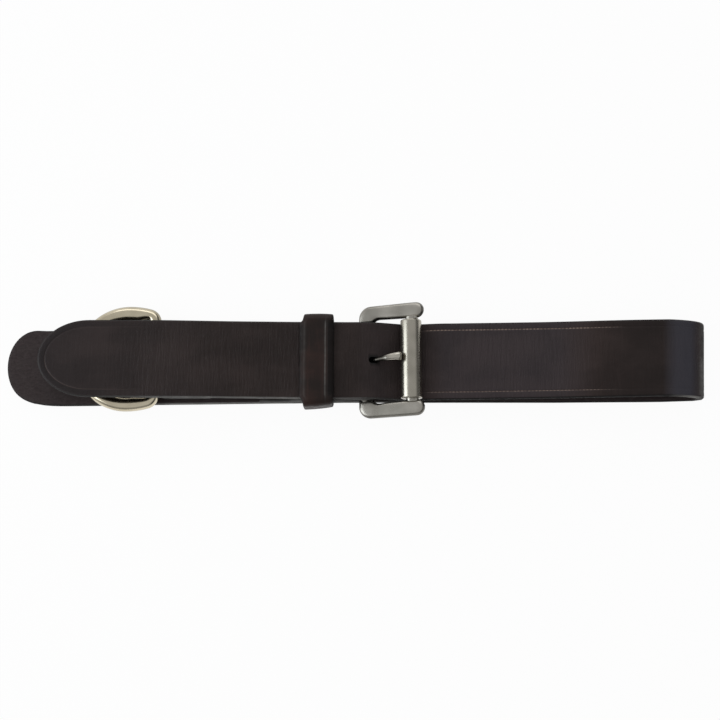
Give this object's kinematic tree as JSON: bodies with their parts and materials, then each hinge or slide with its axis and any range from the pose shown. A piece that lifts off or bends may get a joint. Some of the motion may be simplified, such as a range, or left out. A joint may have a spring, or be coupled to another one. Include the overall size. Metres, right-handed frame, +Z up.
{
  "type": "girth strap",
  "caption": "Leather girth strap folded into a loop and closed by its own roller buckle and keeper, with a metal dee sewn under its free end.",
  "frame": {"origin": "on the surface the strap lies on, under the middle of the folded strap", "axes": "+X along the strap towards the folded end, +Y across the strap, +Z up from the surface"},
  "size_m": [0.346, 0.0574, 0.0216],
  "materials": {
    "strap_leather": "smooth dark brown bridle leather",
    "chape_leather": "thin dark brown leather",
    "keeper_leather": "smooth dark brown leather",
    "buckle_metal": "satin nickel",
    "dee_metal": "polished warm nickel",
    "thread": "waxed dark thread"
  },
  "bodies": {
    "strap": {"girth_strap": "strap_leather", "buckle_chape": "chape_leather", "dee_chape": "chape_leather", "keeper": "keeper_leather", "buckle_chape_stitches": "thread", "dee_chape_stitches": "thread"},
    "buckle": {"buckle_frame": "buckle_metal"},
    "roller": {"roller": "buckle_metal"},
    "tongue": {"tongue": "buckle_metal"},
    "dee": {"dee_ring": "dee_metal"}
  },
  "joints": [
    {"name": "buckle_tilt", "type": "hinge", "parent": "strap", "child": "buckle", "pos_m": [0.005, 0, 0.00766], "axis": [0, -1, 0], "range_deg": [0, 4]},
    {"name": "tongue_lift", "type": "hinge", "parent": "buckle", "child": "tongue", "pos_m": [0.005, 0, 0.00766], "axis": [0, -1, 0], "range_deg": [0, 7]},
    {"name": "roller_spin", "type": "hinge", "parent": "buckle", "child": "roller", "pos_m": [0.0274, 0, 0.0151], "axis": [0, 1, 0], "continuous": true},
    {"name": "dee_swing", "type": "hinge", "parent": "strap", "child": "dee", "pos_m": [-0.099, 0, 0.00866], "axis": [0, 1, 0], "range_deg": [0, 4.8]}
  ]
}
